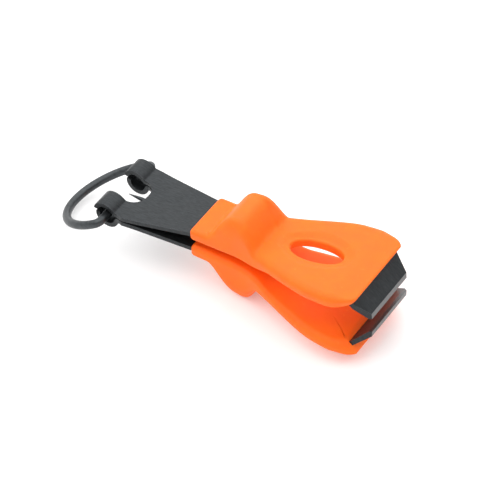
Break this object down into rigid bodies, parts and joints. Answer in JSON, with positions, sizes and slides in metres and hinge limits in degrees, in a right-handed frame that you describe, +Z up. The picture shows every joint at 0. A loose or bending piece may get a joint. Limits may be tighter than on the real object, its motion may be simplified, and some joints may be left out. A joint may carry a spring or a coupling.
{
  "type": "fishing line nipper",
  "caption": "Sprung steel line nipper with rubber grips, angled cutting jaws at the front and a wire ring through rolled eyes at the rear.",
  "frame": {"origin": "centre of the overall box at the height of the surface it lies on", "axes": "+X from the ring towards the cutting jaws, +Z up, +Y across the jaws"},
  "size_m": [0.067, 0.0196, 0.0185],
  "materials": {
    "black_steel": "satin black coating",
    "orange_rubber": "matte orange",
    "wire_steel": "satin black wire",
    "needle_steel": "dark ground steel"
  },
  "bodies": {
    "lower_half": {"lower_leaf": "black_steel", "lower_grip": "orange_rubber", "eye_needle": "needle_steel"},
    "upper_half": {"upper_leaf": "black_steel", "upper_grip": "orange_rubber"},
    "ring": {"ring": "wire_steel"}
  },
  "joints": [
    {"name": "squeeze", "type": "hinge", "parent": "lower_half", "child": "upper_half", "pos_m": [-0.02113, 0, 0.00868], "axis": [0, 1, 0], "range_deg": [0, 3.2], "stiffness_Nm_per_rad": 4},
    {"name": "ring_swing", "type": "hinge", "parent": "lower_half", "child": "ring", "pos_m": [-0.02113, 0, 0.00868], "axis": [0, 1, 0], "range_deg": [-136, 190]}
  ]
}
